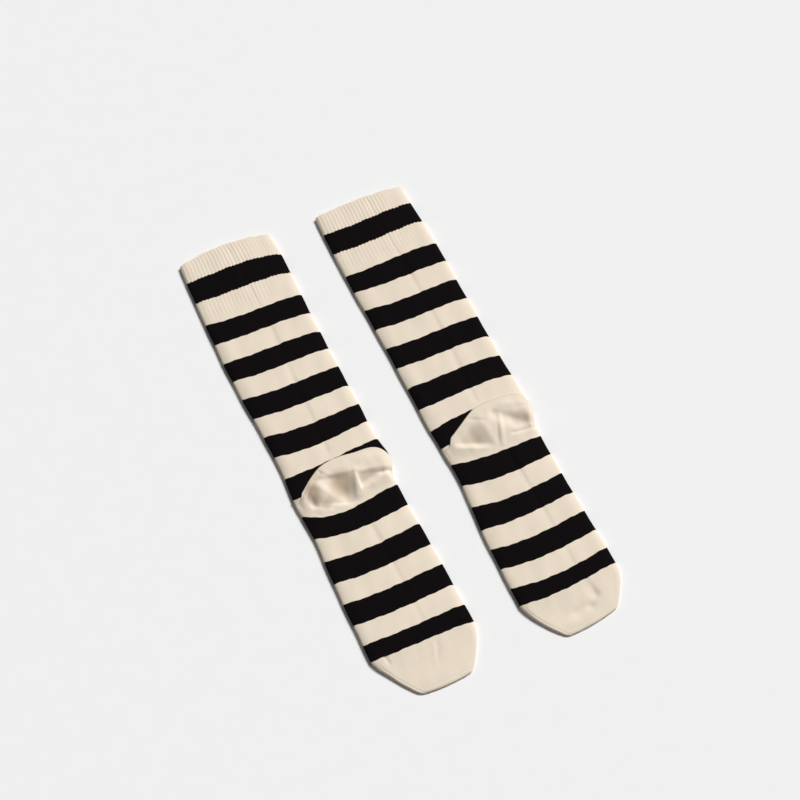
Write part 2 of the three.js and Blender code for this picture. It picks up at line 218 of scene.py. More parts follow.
# The left sock in the pair, as seen from the toes
LEFT = {
    "name": "left",
    "ripple_start": 1.0,
    # The middle of the first dark stripe's upper edge, and the sock's turn in degrees
    "place": {"x": -62, "y": 192.4, "turn": 0.15},
    # How far the sock reaches to the left and right of its middle line
    "outline": [
        {"s": -30, "left": 39.5, "right": 41.8},
        {"s": 0, "left": 40.5, "right": 43.2},
        {"s": 40, "left": 41.9, "right": 42.4},
        {"s": 80, "left": 42.6, "right": 41.9},
        {"s": 120, "left": 41.6, "right": 42},
        {"s": 160, "left": 39.4, "right": 42.6},
        {"s": 190, "left": 38.9, "right": 42.6},
        {"s": 200, "left": 39, "right": 43.5},
        {"s": 211, "left": 40, "right": 45.2},
        {"s": 221, "left": 40.7, "right": 43.2},
        {"s": 231, "left": 40.4, "right": 40.1},
        {"s": 240, "left": 39.6, "right": 40.1},
        {"s": 260, "left": 38.9, "right": 40.5},
        {"s": 300, "left": 40.7, "right": 42.1},
        {"s": 340, "left": 41.3, "right": 43},
        {"s": 373, "left": 41.4, "right": 43.8},
    ],
    # The toe's rows to its tip, with the height and the side's rounding of the flat tube
    "toe": [
        {"s": 373, "left": 41.4, "right": 43.8, "height": 4.6, "shoulder": 9},
        {"s": 378.5, "left": 39.2, "right": 42.8, "height": 4.0, "shoulder": 6},
        {"s": 386, "left": 34.2, "right": 39.6, "height": 3.3, "shoulder": 3.6},
        {"s": 393.5, "left": 29, "right": 35.2, "height": 2.9, "shoulder": 2.6},
        {"s": 401.5, "left": 23.2, "right": 30.2, "height": 2.7, "shoulder": 2.2},
        {"s": 406.6, "left": 19.2, "right": 26.2, "height": 2.5, "shoulder": 2},
        {"s": 408.2, "left": 16.8, "right": 24, "height": 2.2, "shoulder": 2},
        {"s": 408.8, "left": 14.8, "right": 22, "height": 1.4, "shoulder": 2},
    ],
    # How far the toe's tip slants for each millimetre across
    "toe_slant": 0.02,
    # The folded pocket's rim: what starts at across on the heel's first row turns over at x, s
    "fold": [
        {"across": -37, "x": -37, "s": 220},
        {"across": -31, "x": -31.5, "s": 216.5},
        {"across": -22, "x": -22, "s": 209},
        {"across": -10, "x": -10, "s": 201.9},
        {"across": 4, "x": 4, "s": 199.7},
        {"across": 18, "x": 19.5, "s": 201.4},
        {"across": 30, "x": 32.5, "s": 202.4},
        {"across": 35.5, "x": 38.8, "s": 205.2},
        {"across": 38.8, "x": 42.4, "s": 209.4},
        {"across": 41.2, "x": 44.4, "s": 214},
        {"across": 42.9, "x": 44.9, "s": 218.5},
    ],
    # How far each course strays from straight, at the left, middle and right
    "waves": [
        {"s": -29.3, "left": 3.6, "mid": 0, "right": 3.6},
        {"s": 0, "left": -5.5, "mid": -5.8, "right": -2.4},
        {"s": 20.5, "left": -3.8, "mid": -3, "right": -1.5},
        {"s": 41.5, "left": -0.6, "mid": 1.5, "right": 2.2},
        {"s": 61, "left": 0, "mid": 1, "right": 2.2},
        {"s": 81, "left": -0.2, "mid": 0.7, "right": 1.9},
        {"s": 101, "left": -0.9, "mid": 0.7, "right": 0.8},
        {"s": 121, "left": -1.9, "mid": 0.3, "right": 0},
        {"s": 141, "left": -1.8, "mid": 0.6, "right": 0.2},
        {"s": 161, "left": -2.8, "mid": 0.6, "right": -0.4},
        {"s": 181, "left": -2, "mid": 0.7, "right": -1.9},
        {"s": 200, "left": -0.8, "mid": -1.5, "right": -3.6},
        {"s": 221, "left": -1, "mid": 0, "right": 0},
        {"s": 240.5, "left": -2, "mid": 4.5, "right": 0},
        {"s": 260, "left": -1.8, "mid": 3.2, "right": 0.4},
        {"s": 280, "left": -1.1, "mid": 1.4, "right": -0.9},
        {"s": 300, "left": -1, "mid": 0.8, "right": -1.1},
        {"s": 320, "left": -1.5, "mid": -0.1, "right": -1.5},
        {"s": 339, "left": -1.2, "mid": 0, "right": -1.1},
        {"s": 358, "left": -2.9, "mid": -1.9, "right": -2.2},
        {"s": 373, "left": -3.4, "mid": -2.8, "right": -2.1},
    ],
    # How much lower each course lies on its left half than on its right half
    "skews": [
        {"s": -29.3, "by": 0},
        {"s": 0, "by": 0.5},
        {"s": 221, "by": 0.4},
        {"s": 240.5, "by": 1.3},
        {"s": 260, "by": 0.4},
        {"s": 373, "by": 0.2},
    ],
    # Soft folds from one place to another: depth is down into the cloth, and plus and minus
    # are the half widths towards +x (or the cuff) and towards -x (or the toe)
    "pocket_folds": [
        {"from": (14, 217), "to": (7.5, 236), "depth": (-0.9, -0.9), "plus": (3.5, 5),
         "minus": (2.6, 2.2), "caps": (3, 3)},
        {"from": (-19, 216), "to": (-5, 237), "depth": (-0.4, -0.2), "plus": (4, 3), "minus": (3, 3)},
        {"from": (1.5, 220), "to": (-4, 237), "depth": (1.3, 3.3), "plus": (7, 8), "minus": (10, 12)},
        {"from": (-27, 218), "to": (-32, 227), "depth": (1.0, 1.8), "plus": (6, 7), "minus": (3, 3)},
        {"from": (-28, 231), "to": (-15, 238), "depth": (1.3, 1.0), "plus": (6, 5), "minus": (3, 2)},
        {"from": (-13, 206.5), "to": (-8, 213), "depth": (0.6, 0.3), "plus": (1.2, 1.2),
         "minus": (1.6, 2)},
        {"from": (34, 226.5), "to": (45, 227.5), "depth": (0.9, 1.2), "plus": (1.6, 1.3),
         "minus": (2, 2)},
        {"from": (22, 209), "to": (38, 212), "depth": (-0.7, -0.5), "plus": (4, 4), "minus": (5, 5)},
        {"from": (24, 234), "to": (36, 232), "depth": (-0.6, -0.5), "plus": (4, 4), "minus": (4, 4)},
    ],
    # Flat dents between three corners; soft is the softness of the side across from a corner
    "facets": [
        [{"at": (-20, 210), "depth": 1.3, "soft": 15}, {"at": (12, 217), "depth": 1.3, "soft": 13},
         {"at": (3, 243), "depth": 3.6, "soft": 4}],
        [{"at": (14, 218.5), "depth": 0.6, "soft": 7}, {"at": (44, 226), "depth": 1.6, "soft": 2.5},
         {"at": (12.5, 232), "depth": 3.8, "soft": 4.5}],
    ],
    # Painted shade where the pocket sinks in: the knitting is painted darker and warmer in oval places
    # in the knitting's own coordinates, with a turn in degrees
    "hollow_shades": [
        {"at": (151.5, 35), "half": (9, 17), "turn": 12, "by": 0.66},
        {"at": (142, 27.5), "half": (9, 6), "turn": -15, "by": 0.3},
        {"at": (127, 42), "half": (13, 14), "turn": -20, "by": 0.68},
        {"at": (103, 43.5), "half": (13, 5), "turn": 0, "by": 0.36},
        {"at": (144, 51), "half": (9, 6), "turn": 30, "by": 0.4},
    ],
    # The line where the pocket's short rows join, as places x and s
    "gore": [(-14, 207), (-21, 211.5), (-27, 216.5), (-32, 222)],
    "creases": [
        {"from": (5, -22), "to": (7, 60), "depth": (0.25, 0.2), "plus": (1.5, 1.5), "minus": (3, 3)},
        {"from": (7, 60), "to": (4, 120), "depth": (0.35, 0.3), "plus": (1.6, 1.6), "minus": (4, 4)},
        {"from": (4, 120), "to": (2, 190), "depth": (0.35, 0.35), "plus": (1.8, 1.8), "minus": (4, 4)},
        {"from": (6, 244), "to": (8, 300), "depth": (0.45, 0.3), "plus": (1.8, 1.8), "minus": (4, 4)},
        {"from": (8, 300), "to": (9, 372), "depth": (0.3, 0.25), "plus": (1.8, 1.8), "minus": (4, 4)},
        {"from": (-34, 60), "to": (-30, 190), "depth": (-0.25, -0.3), "plus": (5, 5), "minus": (5, 5)},
        {"from": (22, 60), "to": (28, 170), "depth": (0.2, 0.25), "plus": (7, 7), "minus": (7, 7)},
        {"from": (-20, 262), "to": (-24, 350), "depth": (0.25, 0.15), "plus": (7, 7), "minus": (7, 7)},
    ],
    "toe_folds": [
        {"from": (7.5, 377), "to": (1.5, 393), "depth": (-0.2, -0.16), "plus": (1.8, 1.8),
         "minus": (3, 3)},
        {"from": (9.5, 378), "to": (6.5, 384), "depth": (0.25, 0.2), "plus": (2, 2),
         "minus": (1.6, 1.6)},
        {"from": (-30, 371), "to": (-29.6, 374), "depth": (0.5, 0.5), "plus": (1.6, 1.6),
         "minus": (1.6, 1.6)},
    ],
}

# The right sock, with the same tables
RIGHT = {
    "name": "right",
    "ripple_start": 3.4,
    "place": {"x": 63, "y": 188.2, "turn": -0.15},
    "outline": [
        {"s": -30, "left": 41, "right": 39.3},
        {"s": 0, "left": 41.7, "right": 39.8},
        {"s": 40, "left": 42, "right": 42.1},
        {"s": 80, "left": 41.1, "right": 42.1},
        {"s": 120, "left": 40.3, "right": 42.3},
        {"s": 160, "left": 40, "right": 42.4},
        {"s": 190, "left": 39.9, "right": 43.4},
        {"s": 200, "left": 39.9, "right": 43.4},
        {"s": 211, "left": 39.3, "right": 44.6},
        {"s": 221, "left": 38.8, "right": 42.2},
        {"s": 230, "left": 38.6, "right": 39.2},
        {"s": 240, "left": 37.8, "right": 39.3},
        {"s": 260, "left": 37.8, "right": 39.2},
        {"s": 300, "left": 41, "right": 39.8},
        {"s": 340, "left": 41.9, "right": 41.3},
        {"s": 373, "left": 42.2, "right": 42.2},
    ],
    "toe": [
        {"s": 373, "left": 42.2, "right": 42.2, "height": 4.6, "shoulder": 9},
        {"s": 378, "left": 40.4, "right": 41.9, "height": 4.0, "shoulder": 6},
        {"s": 385.3, "left": 36, "right": 39.5, "height": 3.3, "shoulder": 3.6},
        {"s": 392.4, "left": 30.8, "right": 35, "height": 2.9, "shoulder": 2.6},
        {"s": 399.5, "left": 25.2, "right": 30.2, "height": 2.7, "shoulder": 2.2},
        {"s": 404.4, "left": 21.2, "right": 26.6, "height": 2.5, "shoulder": 2},
        {"s": 406, "left": 18.8, "right": 24.4, "height": 2.2, "shoulder": 2},
        {"s": 406.6, "left": 17, "right": 22.4, "height": 1.4, "shoulder": 2},
    ],
    "toe_slant": -0.1,
    "fold": [
        {"across": -36.5, "x": -36.5, "s": 220},
        {"across": -32, "x": -32, "s": 219},
        {"across": -18, "x": -18, "s": 211},
        {"across": -2, "x": -2, "s": 201.5},
        {"across": 5, "x": 5.5, "s": 200},
        {"across": 13, "x": 14, "s": 199.5},
        {"across": 30, "x": 33.5, "s": 201},
        {"across": 35, "x": 39, "s": 203.3},
        {"across": 38.2, "x": 42, "s": 207.8},
        {"across": 40.4, "x": 43.4, "s": 213},
        {"across": 41.9, "x": 43.8, "s": 218.5},
    ],
    "waves": [
        {"s": -29.3, "left": 1.8, "mid": 0, "right": 1.8},
        {"s": 0, "left": -6.3, "mid": -6.6, "right": -7.2},
        {"s": 20.5, "left": -5, "mid": -5.1, "right": -6.3},
        {"s": 41.5, "left": -1.2, "mid": -1.9, "right": -2.1},
        {"s": 61, "left": -2.8, "mid": -1.5, "right": -1.8},
        {"s": 81, "left": -3, "mid": -0.9, "right": -1.5},
        {"s": 101, "left": -1.8, "mid": -0.5, "right": -0.7},
        {"s": 121, "left": -1.7, "mid": -0.6, "right": -0.6},
        {"s": 141, "left": -1, "mid": -0.1, "right": 0.4},
        {"s": 161, "left": -0.4, "mid": -0.5, "right": 0.3},
        {"s": 181, "left": 1.7, "mid": 0.6, "right": 1.2},
        {"s": 200, "left": 3.2, "mid": 0, "right": 6},
        {"s": 221, "left": 1, "mid": 0, "right": 0},
        {"s": 240.5, "left": -1.2, "mid": 3.2, "right": 3.3},
        {"s": 260, "left": -0.4, "mid": 4.2, "right": 2.2},
        {"s": 280, "left": 0, "mid": 3.8, "right": 1.4},
        {"s": 300, "left": 1.1, "mid": 2.6, "right": 0},
        {"s": 320, "left": 0.4, "mid": 2.2, "right": -0.9},
        {"s": 339, "left": -0.2, "mid": 1.9, "right": -0.9},
        {"s": 358, "left": -1.5, "mid": 0.7, "right": -2.9},
        {"s": 373, "left": -1.2, "mid": -0.6, "right": -4},
    ],
    "skews": [
        {"s": -29.3, "by": 0},
        {"s": 0, "by": 0.5},
        {"s": 373, "by": 0.3},
    ],
    "pocket_folds": [
        {"from": (16, 215), "to": (8, 238), "depth": (-0.8, -0.7), "plus": (2, 2.4),
         "minus": (2.4, 2.2), "caps": (2, 3)},
        {"from": (10.5, 224), "to": (5.5, 235), "depth": (0.3, 0.3), "plus": (1.6, 1.6),
         "minus": (2, 2)},
        {"from": (12, 211.5), "to": (31, 227), "depth": (1.5, 2.7), "plus": (3.5, 5.5),
         "minus": (5, 8), "caps": (3, 7)},
        {"from": (21, 233), "to": (37, 234.5), "depth": (0.9, 0.8), "plus": (1.4, 1.4), "minus": (2, 2)},
        {"from": (-8, 208), "to": (2, 214), "depth": (0.6, 0.4), "plus": (1.2, 1.2), "minus": (2.4, 3)},
        {"from": (22, 207), "to": (39, 212), "depth": (-0.8, -0.6), "plus": (4, 4), "minus": (3, 3)},
    ],
    "facets": [
        [{"at": (-33, 224), "depth": 2.0, "soft": 17}, {"at": (-7, 205), "depth": 1.0, "soft": 7},
         {"at": (-3, 236), "depth": 5.2, "soft": 12}],
    ],
    # Painted shade in the pocket's hollows, as ovals in the knitting's own coordinates
    "hollow_shades": [
        {"at": (131, 41), "half": (13, 12), "turn": -20, "by": 0.3},
        {"at": (88, 41.5), "half": (11, 7), "turn": 10, "by": 0.24},
    ],
    "gore": [(-6, 203), (-12, 207), (-18, 212), (-26, 217.5), (-33, 221)],
    "creases": [
        {"from": (7, -22), "to": (9, 60), "depth": (0.25, 0.25), "plus": (1.5, 1.5), "minus": (3, 3)},
        {"from": (9, 60), "to": (9, 120), "depth": (0.35, 0.3), "plus": (1.6, 1.6), "minus": (4, 4)},
        {"from": (9, 120), "to": (6, 192), "depth": (0.35, 0.35), "plus": (1.8, 1.8), "minus": (4, 4)},
        {"from": (9, 244), "to": (11, 300), "depth": (0.45, 0.3), "plus": (1.8, 1.8), "minus": (4, 4)},
        {"from": (11, 300), "to": (12, 372), "depth": (0.3, 0.25), "plus": (1.8, 1.8), "minus": (4, 4)},
        {"from": (-30, 60), "to": (-33, 190), "depth": (-0.25, -0.3), "plus": (5, 5), "minus": (5, 5)},
        {"from": (26, 60), "to": (24, 170), "depth": (0.2, 0.25), "plus": (7, 7), "minus": (7, 7)},
        {"from": (-22, 262), "to": (-20, 350), "depth": (0.25, 0.15), "plus": (7, 7), "minus": (7, 7)},
    ],
    "toe_folds": [
        {"from": (14, 374), "to": (15.5, 384), "depth": (0.4, 0.9), "plus": (2.6, 2.8),
         "minus": (5, 5), "caps": (3, 4)},
        {"from": (14, 387), "to": (8, 392), "depth": (0.4, 0.4), "plus": (3, 3),
         "minus": (3.5, 3.5), "caps": (4, 4)},
        {"from": (7, 392), "to": (-3, 393), "depth": (1.0, 1.1), "plus": (4, 5),
         "minus": (4, 4), "caps": (4, 8)},
    ],
}

def smooth(x, low, high):
    """0 below low, 1 above high and a smooth step between."""
    t = np.clip((x - low) / (high - low), 0, 1)
    return t * t * (3 - 2 * t)


def mix(a, b, t):
    """From a to b by the share t."""
    return a + (b - a) * t


def bell(x, spread):
    """1 at x = 0, falling off smoothly on both sides."""
    return np.exp(-(x / spread) ** 2)


def read_table(table, by, column, at):
    """A table's value in one named column, read smoothly at places in another column."""
    xs = np.array([row[by] for row in table], float)
    ys = np.array([row[column] for row in table], float)
    padded_x = np.concatenate([xs[:1], xs, xs[-1:]])
    padded_y = np.concatenate([ys[:1], ys, ys[-1:]])
    slopes = (padded_y[2:] - padded_y[:-2]) / (padded_x[2:] - padded_x[:-2])
    at = np.clip(np.asarray(at, float), xs[0], xs[-1])
    i = np.clip(np.searchsorted(xs, at, side="right") - 1, 0, len(xs) - 2)
    span = xs[i + 1] - xs[i]
    t = (at - xs[i]) / span
    return (
        mix(ys[i], ys[i + 1], t * t * (3 - 2 * t))
        + span * t * (1 - t) * ((1 - t) * slopes[i] - t * slopes[i + 1])
    )


def places_round(step, under_step):
    """Each column's zone and its share of the way through that zone."""
    high = round(HIGH_SIDE_LENGTH / step)
    counts = [
        round(BOTTOM_LENGTH / under_step), LOW_SIDE_STEPS, high,
        round(TOP_LENGTH / step), high, LOW_SIDE_STEPS,
    ]
    zone = np.concatenate([np.full(count, number) for number, count in enumerate(counts)])
    share = np.concatenate([np.arange(count) / count for count in counts])
    return zone, share


def section(places, left, right, height, inset=0.0, shoulder=SHOULDER):
    """x and z round the tube. The left, right, height and shoulder have one value for each row."""
    zone, f = places
    left, right, height, shoulder = (
        np.atleast_1d(np.asarray(v, float))[:, None] for v in (left, right, height, shoulder)
    )
    left_end = -left + inset
    right_end = right - inset
    shoulder = shoulder - inset
    under = np.minimum(UNDER_ROUND, shoulder) - inset
    middle = height / 2
    crown = CROWN * height / FLAT_HEIGHT
    drop = middle - inset
    lift = height - inset - crown - middle
    x = np.zeros((left.shape[0], len(f)))
    z = np.zeros_like(x)
    pick = zone == BOTTOM
    x[:, pick] = mix(left_end + under, right_end - under, f[pick])
    z[:, pick] = inset
    pick = zone == TOP
    x[:, pick] = mix(right_end - shoulder, left_end + shoulder, f[pick])
    z[:, pick] = middle + lift + crown * (1 - (2 * f[pick] - 1) ** 2)
    for number, quarter in QUARTERS.items():
        pick = zone == number
        angle = np.pi / 2 * (quarter + f[pick])
        size, rise = (shoulder, lift) if number in UPPER else (under, drop)
        end = right_end - size if number in (RIGHT_LOW, RIGHT_HIGH) else left_end + size
        x[:, pick] = end + size * np.cos(angle)
        z[:, pick] = middle + rise * np.sin(angle)
    return x, z


def widths(sock, s):
    """How far the sock reaches to the left and to the right at s."""
    return read_table(sock["outline"], "s", "left", s), read_table(sock["outline"], "s", "right", s)


def top_height(sock, x, s):
    """Height of the leg's upper side, which the folded pocket lies on."""
    left, right = widths(sock, s)
    middle = FLAT_HEIGHT / 2
    lift = FLAT_HEIGHT - CROWN - middle
    start = -left + SHOULDER
    stop = right - SHOULDER
    beyond = np.clip(np.maximum(start - x, x - stop) / SHOULDER, 0, 1)
    f = (x - start) / (stop - start)
    flat = middle + lift + CROWN * (1 - (2 * f - 1) ** 2)
    return np.where(beyond > 0, middle + lift * np.sqrt(1 - beyond ** 2), flat)


def wave(sock, x, v):
    """How far the course knitted at v strays from straight at x."""
    left, mid, right = (read_table(sock["waves"], "s", key, v) for key in ("left", "mid", "right"))
    across = np.clip(x / HALF_ACROSS, -1.25, 1.25)
    bend = mid + (right - left) / 2 * across + ((left + right) / 2 - mid) * across ** 2
    skew = -SKEW_FULL * read_table(sock["skews"], "s", "by", v) * (across - across ** 3)
    small = sum(
        row["height"] * np.sin(x * row["x"] + v * row["v"] + row["start"]) for row in COURSE_WAVES
    )
    return bend + skew + small


def folds_depth(folds, x, s):
    """How far a list of soft folds sinks the cloth at x, s. A negative depth is a ridge."""
    total = np.zeros_like(x)
    for fold in folds:
        start_x, start_s = fold["from"]
        stop_x, stop_s = fold["to"]
        length = math.hypot(stop_x - start_x, stop_s - start_s)
        unit_x, unit_s = (stop_x - start_x) / length, (stop_s - start_s) / length
        along = (x - start_x) * unit_x + (s - start_s) * unit_s
        side = (x - start_x) * unit_s - (s - start_s) * unit_x
        share = np.clip(along / length, 0, 1)
        depth, plus, minus = (mix(*fold[key], share) for key in ("depth", "plus", "minus"))
        spread = np.where(side > 0, plus, minus)
        before, after = fold.get("caps", FOLD_CAPS)
        beyond = np.maximum(-along, 0) / before + np.maximum(along - length, 0) / after
        total += depth * np.exp(-((side / spread) ** 2) - beyond ** 2)
    return total


def facets_depth(facets, x, s):
    """How far flat three-cornered dents sink the cloth. Each side has its own softness."""
    total = np.zeros_like(x)
    for facet in facets:
        corners = [np.array(corner["at"], float) for corner in facet]
        first, second = corners[1] - corners[0], corners[2] - corners[0]
        area = first[0] * second[1] - first[1] * second[0]
        depth = np.zeros_like(x)
        window = np.ones_like(x)
        for i, corner in enumerate(facet):
            start, stop = corners[(i + 1) % 3], corners[(i + 2) % 3]
            along = stop - start
            inside = (along[0] * (s - start[1]) - along[1] * (x - start[0])) * np.sign(area)
            depth += corner["depth"] * inside / abs(area)
            low, high = -SOFT_OUTWARDS * corner["soft"], SOFT_INWARDS * corner["soft"]
            window *= smooth(inside / np.linalg.norm(along), low, high)
        total += np.maximum(depth, 0) * window
    return total


def distance_from_line(points, x, s):
    """Distance of each place from a line of straight stretches."""
    best = np.full_like(x, np.inf)
    for (start_x, start_s), (stop_x, stop_s) in zip(points, points[1:]):
        dx, ds = stop_x - start_x, stop_s - start_s
        t = np.clip(((x - start_x) * dx + (s - start_s) * ds) / (dx ** 2 + ds ** 2), 0, 1)
        distance = np.hypot(x - start_x - t * dx, s - start_s - t * ds)
        best = np.minimum(best, distance)
    return best


def ripple(sock, x, s):
    """A very low, broad unevenness of cloth that lies on a table."""
    start = sock["ripple_start"]
    return (
        0.10 * np.sin(x * 0.11 + start) * np.sin(s * 0.045 + start * 1.7)
        + 0.07 * np.sin(x * 0.23 - s * 0.06 + start * 2.1)
        + 0.05 * np.sin(x * 0.41 + s * 0.12 + start * 0.6)
    )


def to_world(sock, x, s, z):
    """Points in the frame of the part, from places on a sock."""
    place = sock["place"]
    turn = math.radians(place["turn"])
    y = -s
    return np.stack([
        place["x"] + x * math.cos(turn) - y * math.sin(turn),
        place["y"] + x * math.sin(turn) + y * math.cos(turn),
        z,
    ], -1)


def across_round(x, z):
    """Length round the tube's middle row at each column, and all round at the end."""
    middle = x.shape[0] // 2
    ring = np.stack([x[middle], z[middle]], -1)
    steps = np.linalg.norm(np.roll(ring, -1, 0) - ring, axis=1)
    return np.concatenate([[0], np.cumsum(steps)])


def make_piece(sock, part, x, s, z, v, material):
    """A mesh of rows and columns that closes round the tube, with its knitting's coordinates."""
    rows, cols = x.shape
    points = to_world(sock, x, s, z).reshape(-1, 3) * MM
    round_the_tube = across_round(x, z)
    i, j = np.meshgrid(np.arange(rows - 1), np.arange(cols), indexing="ij")
    i, j = i.ravel(), j.ravel()
    k = (j + 1) % cols
    faces = np.stack([i * cols + j, i * cols + k, (i + 1) * cols + k, (i + 1) * cols + j], -1)
    mesh = bpy.data.meshes.new(f"{sock['name']}_{part}_cloth")
    mesh.vertices.add(rows * cols)
    mesh.vertices.foreach_set("co", points.ravel())
    mesh.loops.add(faces.size)
    mesh.loops.foreach_set("vertex_index", faces.ravel())
    mesh.polygons.add(len(faces))
    mesh.polygons.foreach_set("loop_start", np.arange(0, faces.size, 4))
    mesh.update(calc_edges=True)
    mesh.validate()
    mesh.polygons.foreach_set("use_smooth", np.ones(len(faces), bool))
    corner_rows = np.stack([i, i, i + 1, i + 1], -1)
    corner_cols = np.stack([j, j + 1, j + 1, j], -1)
    knit = np.stack([round_the_tube[corner_cols], v[corner_rows]], -1)
    bake = np.stack([corner_cols / cols, corner_rows / (rows - 1)], -1) * 0.99 + 0.005
    for name, values in {"Knit": knit, "OFBake": bake}.items():
        layer = mesh.uv_layers.new(name=name)
        layer.data.foreach_set("uv", values.astype(np.float32).ravel())
    mesh.materials.append(material)
    piece = bpy.data.objects.new(mesh.name, mesh)
    bpy.context.scene.collection.objects.link(piece)
    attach(piece, "root")
    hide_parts(f"{sock['name']}_{part}")
    return piece


def upper_share(places, z, height):
    """1 on the upper side, fading to 0 at the tube's side folds."""
    zone, _ = places
    low, high = UPPER_FADE
    share = smooth(z, height * low, height * high)
    return share * np.isin(zone, UPPER)[None, :]


def plain_tube(sock, part, start, end, material):
    """The leg or the foot: rows that follow the courses, with soft lengthwise creases."""
    places = places_round(PLAIN_STEP, PLAIN_UNDER_STEP)
    rows = round((end - start) / PLAIN_STEP) + 1
    v = np.linspace(start, end, rows)
    plain_left, plain_right = widths(sock, v)
    x, z = section(places, plain_left, plain_right, np.full(rows, FLAT_HEIGHT))
    s = v[:, None] + wave(sock, x, v[:, None])
    left, right = widths(sock, s)
    x = x * np.where(x < 0, left / plain_left[:, None], right / plain_right[:, None])
    top = upper_share(places, z, FLAT_HEIGHT)
    z = z - top * folds_depth(sock["creases"], x, s) + top * ripple(sock, x, s)
    edge = EDGE_WAVE * np.sin(v * 2 * math.pi / EDGE_WAVE_LENGTH + sock["ripple_start"])[:, None]
    x = x + edge * smooth(np.abs(x), *EDGE_FADE) * np.sign(x)
    piece = make_piece(sock, part, x, s, z, v, material)
    return piece


def cuff(sock, material):
    """The ribbed cuff with a turned double edge, and its hem inside the mouth."""
    places = places_round(RIB_STEP, FINE_UNDER_STEP)
    zone, _ = places
    turned = [
        {"v": CUFF_TOP + CUFF_HEM, "inset": WALL},
        {"v": CUFF_TOP + 2, "inset": WALL},
        {"v": CUFF_TOP + 0.7, "inset": WALL * 0.9},
        {"v": CUFF_TOP + 0.15, "inset": WALL * 0.68},
        {"v": CUFF_TOP, "inset": WALL * 0.45},
        {"v": CUFF_TOP + 0.15, "inset": WALL * 0.24},
        {"v": CUFF_TOP + 0.6, "inset": WALL * 0.06},
    ]
    outer = np.linspace(CUFF_TOP + 1.3, CUFF_END, round(CUFF_END - CUFF_TOP) + 1)
    v = np.concatenate([[row["v"] for row in turned], outer])
    inset = np.concatenate([[row["inset"] for row in turned], np.zeros(len(outer))])
    left, right = widths(sock, v)
    rows = [section(places, left[i], right[i], FLAT_HEIGHT, inset[i]) for i in range(len(v))]
    x, z = (np.concatenate(parts) for parts in zip(*rows))
    along = across_round(x[len(turned):], z[len(turned):])
    ribs = round(along[-1] / RIB_PITCH)
    phase = (along[:-1] / along[-1] * ribs * 2 * math.pi)[None, :]
    s = v[:, None] + wave(sock, x, v[:, None])
    fade = 1 - smooth(v, CUFF_END - RIB_FADE, CUFF_END)[:, None]
    s = s + RIB_ZIGZAG * np.cos(phase) * fade
    wander = RIB_WANDER * np.sin(v * 0.33 + 0.7)[:, None]
    profile = np.abs(np.cos((phase + wander) / 2)) ** RIB_SHARPNESS
    height = RIB_RELIEF * (1 - HEM_FLATTENING * inset / WALL)[:, None] * fade
    height = height * mix(1, LOWER_BAND_SHARE, smooth(v, *LOWER_BAND))[:, None]
    height = height * mix(1, RIGHT_SHARE, smooth(x, *RIGHT_FADE))
    height = height * mix(1, MIDDLE_SHARE, bell(x - MIDDLE_PLACE, MIDDLE_SPREAD))
    top = np.isin(zone, UPPER)[None, :] * smooth(z, *RIB_FOOT)
    z = z + top * height * (profile - 0.5)
    out = np.isin(zone, SIDES)[None, :] * smooth(np.abs(x), *RIB_SIDES)
    x = x + out * height * (profile - 0.5) * np.sign(x) * RIB_SIDE_SHARE
    upper = upper_share(places, z, FLAT_HEIGHT)
    z = z + upper * (ripple(sock, x, s) - folds_depth(sock["creases"], x, s))
    piece = make_piece(sock, "cuff", x, s, z, v, material)
    return piece


def pocket_rows(sock, start, close, tip_x, tip_s, folded):
    """The folded pocket's rows: hidden on the leg, over the rim and back down to the foot.

    Gives v for each row, and x, s and z for each row and column. Start and close are the x, s
    and z of the heel's first and last rows.
    """
    start_x, start_s, _ = start
    close_x, close_s, close_z = close
    fullness = smooth(LEG_END - tip_s, *FULL)
    dented = smooth(LEG_END - tip_s, *DENTED)
    radius = RIM_RADIUS * mix(RIM_AT_THE_SIDES, 1, fullness)
    rim_s = tip_s + radius
    rim_z = top_height(sock, tip_x, rim_s) + POCKET_CLEARANCE + radius

    share = np.linspace(0, 1, HIDDEN_ROWS)[:, None]
    x, s = mix(start_x, tip_x, share), mix(start_s, rim_s, share)
    z = top_height(sock, x, np.minimum(s, LEG_END)) + POCKET_CLEARANCE
    hidden = HIDDEN_COURSES * share, x, s, z

    degrees = np.linspace(-RIM_TURN, RIM_TURN, RIM_ROWS)[:, None]
    turn = np.radians(degrees)
    v = HIDDEN_COURSES + RIM_COURSES * (degrees + 90) / 180
    rim = v, tip_x, rim_s - radius * np.cos(turn), rim_z + radius * np.sin(turn)

    share = np.linspace(0, 1, SHOWN_ROWS)[:, None]
    s = mix(rim_s, close_s, share)
    x = mix(tip_x, close_x, smooth(share, 0.05, 0.65))
    base = mix(rim_z + radius, close_z, smooth(share, 0, 1))
    swell = POCKET_SWELL * fullness * np.sin(np.pi * share) ** 2
    window = dented * np.sin(np.pi * share) ** 0.5
    dents = folds_depth(sock["pocket_folds"], x, s) + facets_depth(sock["facets"], x, s)
    away = distance_from_line(sock["gore"], x, s)
    gore = GORE_RIDGE * bell(away, 1) - GORE_GROOVE * bell(away - GORE_GROOVE_AWAY, 1)
    uneven = POCKET_UNEVENNESS * np.sin(x * 0.5 + s * 0.31) * np.sin(s * 0.4 - x * 0.2) * window
    v = HIDDEN_COURSES + RIM_COURSES + SHOWN_COURSES * share
    shown = v, x, s, base + swell - dents * window + gore * folded + uneven

    stretches = [(1, (0, *start)), (HIDDEN_ROWS, hidden), (RIM_ROWS, rim), (SHOWN_ROWS, shown)]
    v, x, s, z = (
        np.concatenate([
            np.broadcast_to(stretch[number], (rows, len(start_x))) for rows, stretch in stretches
        ])
        for number in range(4)
    )
    return v[:, 0], x, s, z


